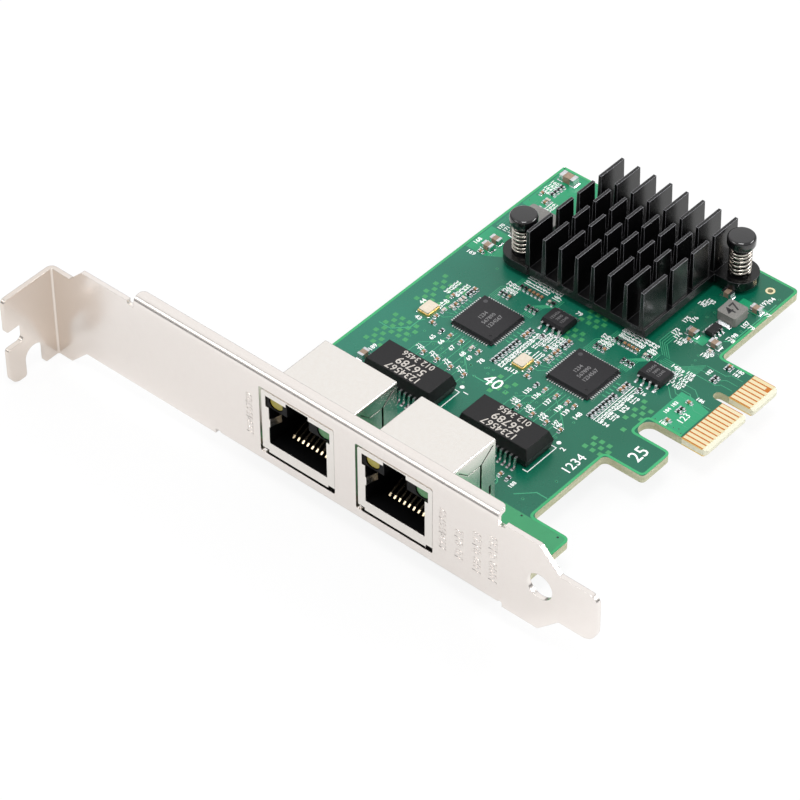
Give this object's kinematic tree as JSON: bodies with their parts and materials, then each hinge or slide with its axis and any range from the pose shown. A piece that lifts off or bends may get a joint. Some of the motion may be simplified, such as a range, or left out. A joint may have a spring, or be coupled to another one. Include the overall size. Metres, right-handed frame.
{
  "type": "network interface card",
  "caption": "Low single-lane expansion card with two network jacks, a folded steel bracket with screw tab, and a finned heatsink held by sprung push pins.",
  "frame": {"origin": "tip line of the contact edge, at the middle of the key notch, on the component face of the board", "axes": "+X along the bracket towards the contact edge and out of it, +Y from the bracket into the card, +Z out of the component face"},
  "size_m": [0.119, 0.1008, 0.0238],
  "materials": {
    "bracket_sheet": "satin",
    "screw_steel": "satin",
    "board": "gloss",
    "gold": "satin",
    "shield_steel": "satin",
    "black_moulding": "matte",
    "yellow_lamp": "gloss",
    "green_lamp": "gloss",
    "chip_plastic": "matte",
    "tinned_leads": "satin",
    "crystal_ceramic": "matte",
    "pad": "matte",
    "black_aluminium": "anodised",
    "spring_steel": "satin",
    "ferrite": "matte",
    "capacitor_ceramic": "matte",
    "resistor_body": "matte"
  },
  "bodies": {
    "root": {"bracket": "bracket_sheet", "bracket_screws": "screw_steel", "choke": "ferrite", "choke_terminals": "tinned_leads", "circuit_board": "board", "controller_chip_1": "chip_plastic", "controller_chip_2": "chip_plastic", "controller_leads_1": "tinned_leads", "controller_leads_2": "tinned_leads", "crystal_base_1": "crystal_ceramic", "crystal_base_2": "crystal_ceramic", "crystal_lid_1": "shield_steel", "crystal_lid_2": "shield_steel", "edge_contacts_bottom": "gold", "edge_contacts_top": "gold", "flash_chip_1": "chip_plastic", "flash_chip_2": "chip_plastic", "flash_leads_1": "tinned_leads", "flash_leads_2": "tinned_leads", "heatsink": "black_aluminium", "jack_contacts_1": "gold", "jack_contacts_2": "gold", "jack_housing_1": "black_moulding", "jack_housing_2": "black_moulding", "jack_lamp_green_1": "green_lamp", "jack_lamp_green_2": "green_lamp", "jack_lamp_yellow_1": "yellow_lamp", "jack_lamp_yellow_2": "yellow_lamp", "jack_shield_1": "shield_steel", "jack_shield_2": "shield_steel", "large_capacitors": "capacitor_ceramic", "large_choke": "ferrite", "pin_spring_left": "spring_steel", "pin_spring_right": "spring_steel", "push_pin_left": "black_moulding", "push_pin_right": "black_moulding", "regulator": "chip_plastic", "regulator_leads": "tinned_leads", "resistors": "resistor_body", "small_capacitors": "capacitor_ceramic", "switch_chip": "chip_plastic", "thermal_pad": "pad", "transformer_body_1": "chip_plastic", "transformer_body_2": "chip_plastic", "transformer_leads_1": "tinned_leads", "transformer_leads_2": "tinned_leads"}
  },
  "joints": []
}
